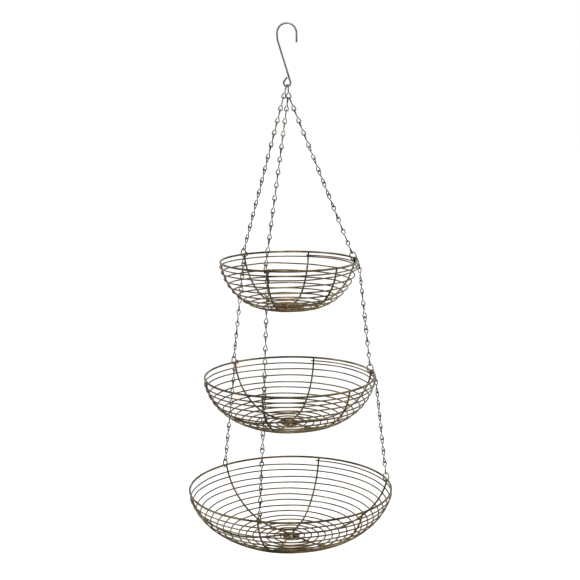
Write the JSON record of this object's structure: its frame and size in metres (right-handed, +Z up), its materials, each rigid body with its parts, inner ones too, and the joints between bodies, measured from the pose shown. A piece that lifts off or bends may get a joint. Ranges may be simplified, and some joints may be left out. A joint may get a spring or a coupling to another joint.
{
  "type": "hanging fruit basket",
  "caption": "Tiered hanging fruit basket of bent bronze-plated wire: round coil-wire bowls of growing width hang one under another on link chains from a single hook.",
  "frame": {"origin": "inside top of the hook's crook, the point that rests on a rail or ceiling hook", "axes": "+Z up, against the pull of gravity; the hook's crook lies in the XZ plane and opens downwards on +X"},
  "size_m": [0.3002, 0.3, 0.749],
  "materials": {
    "hook_wire": "dark bronze plating on steel wire, satin",
    "chain_wire": "dark bronze plating on steel wire, satin",
    "link_wire": "warm bronze plating on steel wire, satin",
    "basket_wire": "antique bronze plating on steel wire, satin"
  },
  "bodies": {
    "hook": {"hook": "hook_wire"},
    "top_links": {"top_link": "link_wire", "left_top_link": "chain_wire"},
    "upper_chains": {"upper_left_chain": "chain_wire", "upper_front_chain": "chain_wire", "upper_right_chain": "chain_wire"},
    "small_basket": {"small_rim": "basket_wire", "small_rib_1": "basket_wire", "small_rib_2": "basket_wire", "small_rib_3": "basket_wire", "small_coil": "basket_wire", "small_left_rim_link": "link_wire", "small_front_rim_link": "link_wire", "small_right_rim_link": "link_wire", "middle_left_first_link": "chain_wire", "middle_front_first_link": "chain_wire", "middle_right_first_link": "chain_wire"},
    "middle_left_second": {"middle_left_second_link": "chain_wire"},
    "middle_left_run": {"middle_left_chain": "chain_wire"},
    "middle_front_second": {"middle_front_second_link": "chain_wire"},
    "middle_front_run": {"middle_front_chain": "chain_wire"},
    "middle_right_second": {"middle_right_second_link": "chain_wire"},
    "middle_right_run": {"middle_right_chain": "chain_wire"},
    "middle_left_end": {"middle_left_end_link": "chain_wire"},
    "medium_left_link": {"medium_left_rim_link": "link_wire"},
    "medium_basket": {"medium_rim": "basket_wire", "medium_rib_1": "basket_wire", "medium_rib_2": "basket_wire", "medium_rib_3": "basket_wire", "medium_coil": "basket_wire", "medium_front_rim_link": "link_wire", "medium_right_rim_link": "link_wire", "lower_left_first_link": "chain_wire", "lower_front_first_link": "chain_wire", "lower_right_first_link": "chain_wire"},
    "lower_left_second": {"lower_left_second_link": "chain_wire"},
    "lower_left_run": {"lower_left_chain": "chain_wire"},
    "lower_front_second": {"lower_front_second_link": "chain_wire"},
    "lower_front_run": {"lower_front_chain": "chain_wire"},
    "lower_right_second": {"lower_right_second_link": "chain_wire"},
    "lower_right_run": {"lower_right_chain": "chain_wire"},
    "lower_left_end": {"lower_left_end_link": "chain_wire"},
    "large_left_link": {"large_left_rim_link": "link_wire"},
    "large_basket": {"large_rim": "basket_wire", "large_rib_1": "basket_wire", "large_rib_2": "basket_wire", "large_rib_3": "basket_wire", "large_coil": "basket_wire", "large_front_rim_link": "link_wire", "large_right_rim_link": "link_wire"}
  },
  "joints": [
    {"name": "swing_front", "type": "hinge", "parent": "hook", "child": "top_links", "pos_m": [0, 0, -0.0853], "axis": [1, 0, 0], "range_deg": [-20, 20]},
    {"name": "swing_side", "type": "hinge", "parent": "top_links", "child": "upper_chains", "pos_m": [0.00192, 0, -0.1025], "axis": [0, 1, 0], "range_deg": [-20, 20]},
    {"name": "lift_small", "type": "slide", "parent": "upper_chains", "child": "small_basket", "axis": [0, 0, 1], "range_m": [0, 0.12], "deforming": ["upper_left_chain", "upper_front_chain", "upper_right_chain"]},
    {"name": "sway_front_medium", "type": "hinge", "parent": "small_basket", "child": "middle_left_second", "pos_m": [-0.06787, 0.07927, -0.34629], "axis": [1, 0, 0], "range_deg": [-10, 10]},
    {"name": "sway_side_medium", "type": "hinge", "parent": "middle_left_second", "child": "middle_left_run", "pos_m": [-0.06994, 0.0804, -0.36459], "axis": [0, 1, 0], "range_deg": [-10, 10]},
    {"name": "middle_front_front_pivot", "type": "hinge", "parent": "small_basket", "child": "middle_front_second", "pos_m": [-0.02916, -0.10021, -0.34628], "axis": [1, 0, 0], "range_deg": [-10, 10]},
    {"name": "middle_front_side_pivot", "type": "hinge", "parent": "middle_front_second", "child": "middle_front_run", "pos_m": [-0.02986, -0.10233, -0.36459], "axis": [0, 1, 0], "range_deg": [-10, 10]},
    {"name": "middle_right_front_pivot", "type": "hinge", "parent": "small_basket", "child": "middle_right_second", "pos_m": [0.10258, 0.01914, -0.34629], "axis": [1, 0, 0], "range_deg": [-10, 10]},
    {"name": "middle_right_side_pivot", "type": "hinge", "parent": "middle_right_second", "child": "middle_right_run", "pos_m": [0.1046, 0.02037, -0.36459], "axis": [0, 1, 0], "range_deg": [-10, 10]},
    {"name": "lift_medium", "type": "slide", "parent": "middle_left_run", "child": "middle_left_end", "axis": [0, 0, 1], "range_m": [0, 0.07], "deforming": ["middle_left_chain", "middle_front_chain", "middle_right_chain"]},
    {"name": "medium_link_pivot", "type": "hinge", "parent": "middle_left_end", "child": "medium_left_link", "pos_m": [-0.08443, 0.08833, -0.49263], "axis": [0, 1, 0], "range_deg": [-12, 12]},
    {"name": "medium_rim_pivot", "type": "hinge", "parent": "medium_left_link", "child": "medium_basket", "pos_m": [-0.08536, 0.08883, -0.50086], "axis": [1, 0, 0], "range_deg": [-12, 12]},
    {"name": "sway_front_large", "type": "hinge", "parent": "medium_basket", "child": "lower_left_second", "pos_m": [-0.08499, 0.09803, -0.51527], "axis": [1, 0, 0], "range_deg": [-10, 10]},
    {"name": "sway_side_large", "type": "hinge", "parent": "lower_left_second", "child": "lower_left_run", "pos_m": [-0.08705, 0.09916, -0.53357], "axis": [0, 1, 0], "range_deg": [-10, 10]},
    {"name": "lower_front_front_pivot", "type": "hinge", "parent": "medium_basket", "child": "lower_front_second", "pos_m": [-0.03502, -0.12494, -0.51526], "axis": [1, 0, 0], "range_deg": [-10, 10]},
    {"name": "lower_front_side_pivot", "type": "hinge", "parent": "lower_front_second", "child": "lower_front_run", "pos_m": [-0.03593, -0.12699, -0.53358], "axis": [0, 1, 0], "range_deg": [-10, 10]},
    {"name": "lower_right_front_pivot", "type": "hinge", "parent": "medium_basket", "child": "lower_right_second", "pos_m": [0.1274, 0.02459, -0.51527], "axis": [1, 0, 0], "range_deg": [-10, 10]},
    {"name": "lower_right_side_pivot", "type": "hinge", "parent": "lower_right_second", "child": "lower_right_run", "pos_m": [0.1294, 0.02581, -0.53357], "axis": [0, 1, 0], "range_deg": [-10, 10]},
    {"name": "lift_large", "type": "slide", "parent": "lower_left_run", "child": "lower_left_end", "axis": [0, 0, 1], "range_m": [0, 0.07], "deforming": ["lower_left_chain", "lower_front_chain", "lower_right_chain"]},
    {"name": "large_link_pivot", "type": "hinge", "parent": "lower_left_end", "child": "large_left_link", "pos_m": [-0.10147, 0.10705, -0.66162], "axis": [0, 1, 0], "range_deg": [-12, 12]},
    {"name": "large_rim_pivot", "type": "hinge", "parent": "large_left_link", "child": "large_basket", "pos_m": [-0.10239, 0.10755, -0.66985], "axis": [1, 0, 0], "range_deg": [-12, 12]}
  ],
  "couplings": [
    {"joint": "middle_front_front_pivot", "follows": "sway_front_medium", "ratio": 1},
    {"joint": "middle_front_side_pivot", "follows": "sway_side_medium", "ratio": 1},
    {"joint": "middle_right_front_pivot", "follows": "sway_front_medium", "ratio": 1},
    {"joint": "middle_right_side_pivot", "follows": "sway_side_medium", "ratio": 1},
    {"joint": "medium_link_pivot", "follows": "sway_side_medium", "ratio": -0.87212},
    {"joint": "medium_rim_pivot", "follows": "sway_front_medium", "ratio": -0.84701},
    {"joint": "lower_front_front_pivot", "follows": "sway_front_large", "ratio": 1},
    {"joint": "lower_front_side_pivot", "follows": "sway_side_large", "ratio": 1},
    {"joint": "lower_right_front_pivot", "follows": "sway_front_large", "ratio": 1},
    {"joint": "lower_right_side_pivot", "follows": "sway_side_large", "ratio": 1},
    {"joint": "large_link_pivot", "follows": "sway_side_large", "ratio": -0.89463},
    {"joint": "large_rim_pivot", "follows": "sway_front_large", "ratio": -0.87373}
  ]
}
